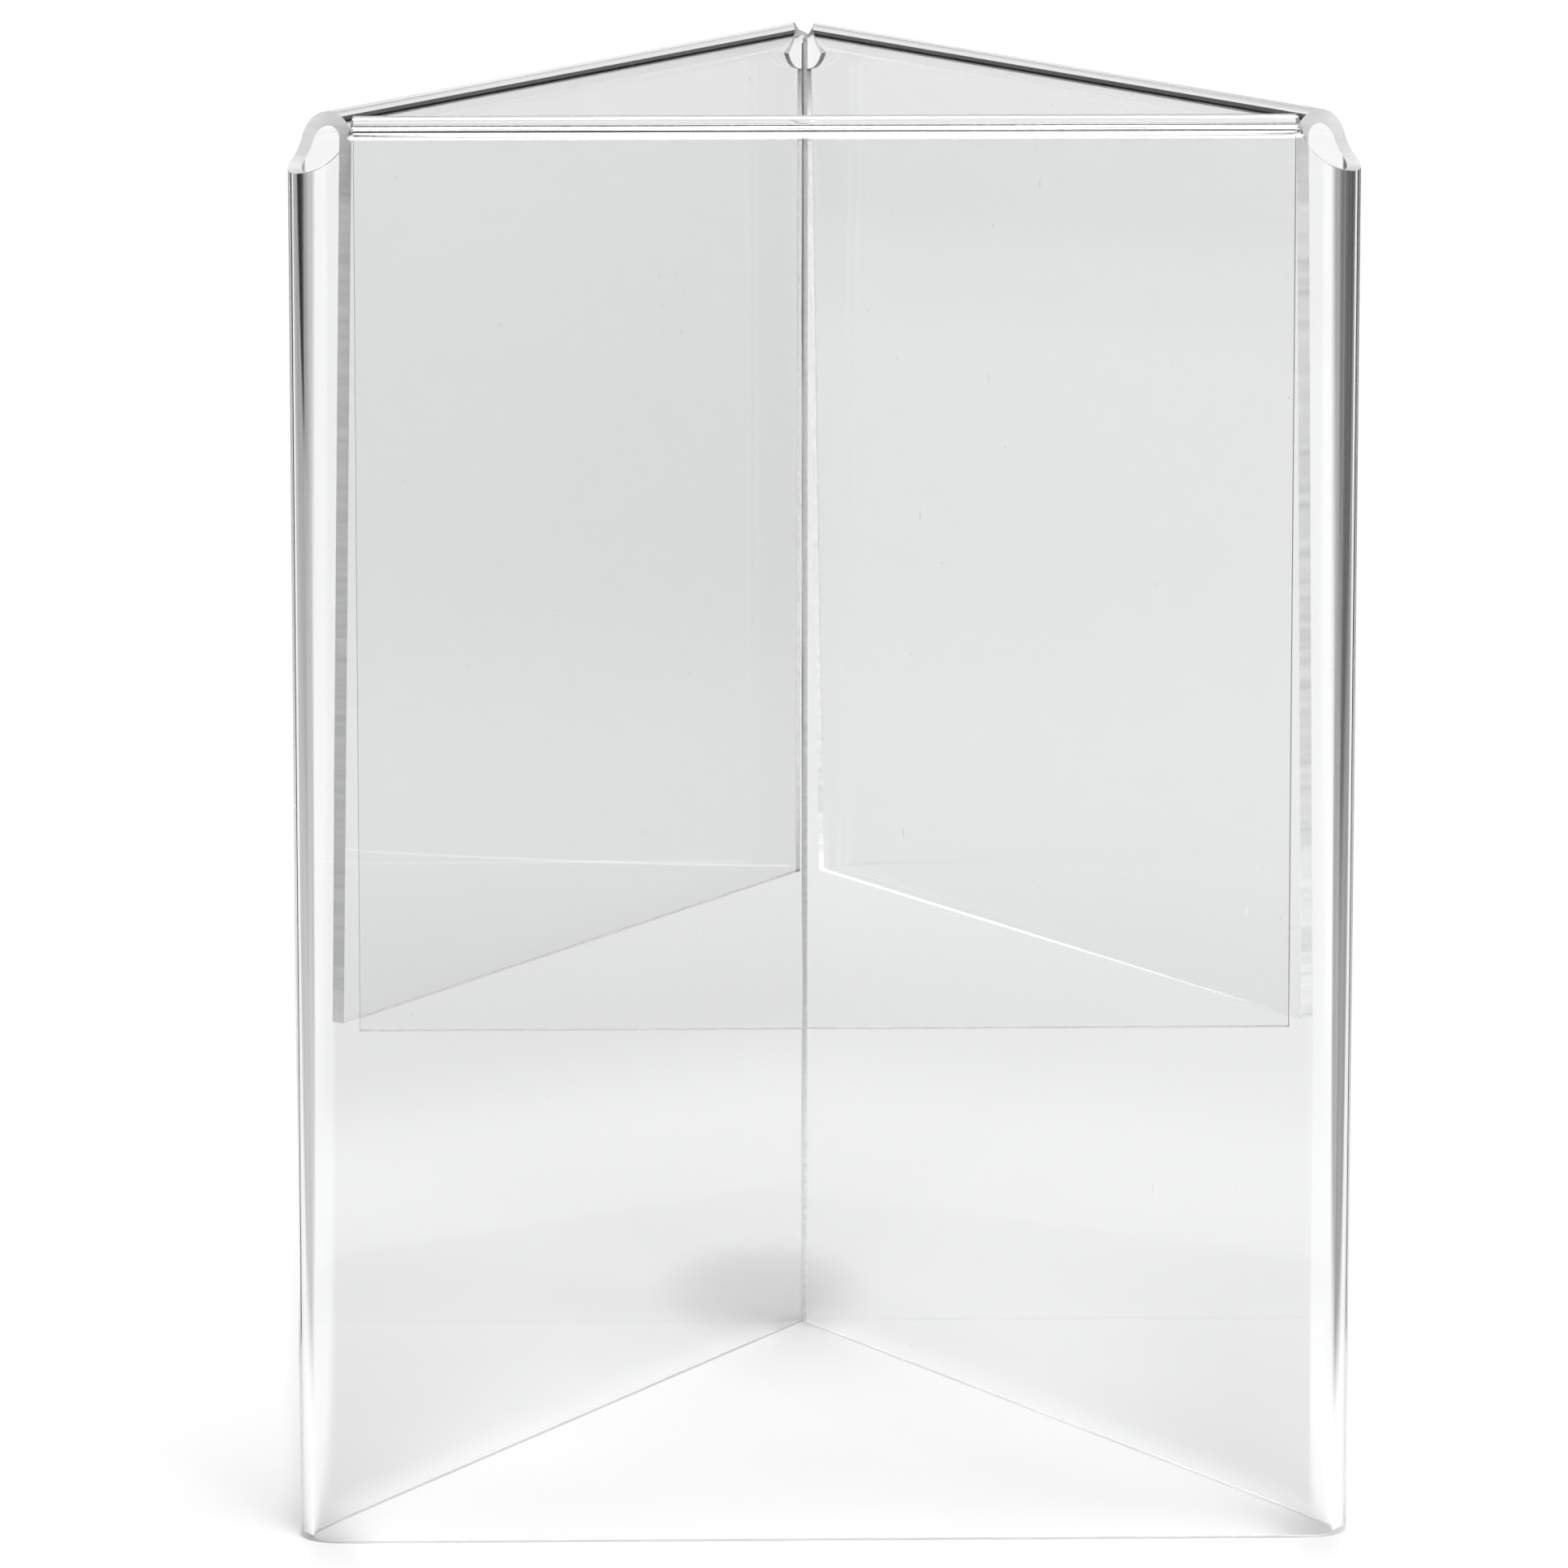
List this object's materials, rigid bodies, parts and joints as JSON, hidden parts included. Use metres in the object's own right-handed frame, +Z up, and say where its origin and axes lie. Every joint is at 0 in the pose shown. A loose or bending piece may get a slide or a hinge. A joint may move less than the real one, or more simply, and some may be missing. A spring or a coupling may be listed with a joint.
{
  "type": "three-sided card holder",
  "caption": "Clear acrylic three-sided tabletop card holder: a triangular tube with rounded front corners and folded tops that hang inside as flaps to hold cards.",
  "frame": {"origin": "middle of the bounding box's bottom face, on the table", "axes": "+Z up, front side faces -Y, the cemented corner points to +Y, X runs along the front side"},
  "size_m": [0.1136, 0.1032, 0.1544],
  "materials": {
    "clear_acrylic": "clear polished cast sheet with sawn edges",
    "acrylic_cement": "clear solvent cement, glossy"
  },
  "bodies": {
    "root": {"front_panel": "clear_acrylic", "left_panel": "clear_acrylic", "right_panel": "clear_acrylic", "left_corner_bend": "clear_acrylic", "right_corner_bend": "clear_acrylic", "front_fold": "clear_acrylic", "left_fold": "clear_acrylic", "right_fold": "clear_acrylic", "front_flap": "clear_acrylic", "left_flap": "clear_acrylic", "right_flap": "clear_acrylic", "rear_seam_bead": "acrylic_cement"}
  },
  "joints": []
}
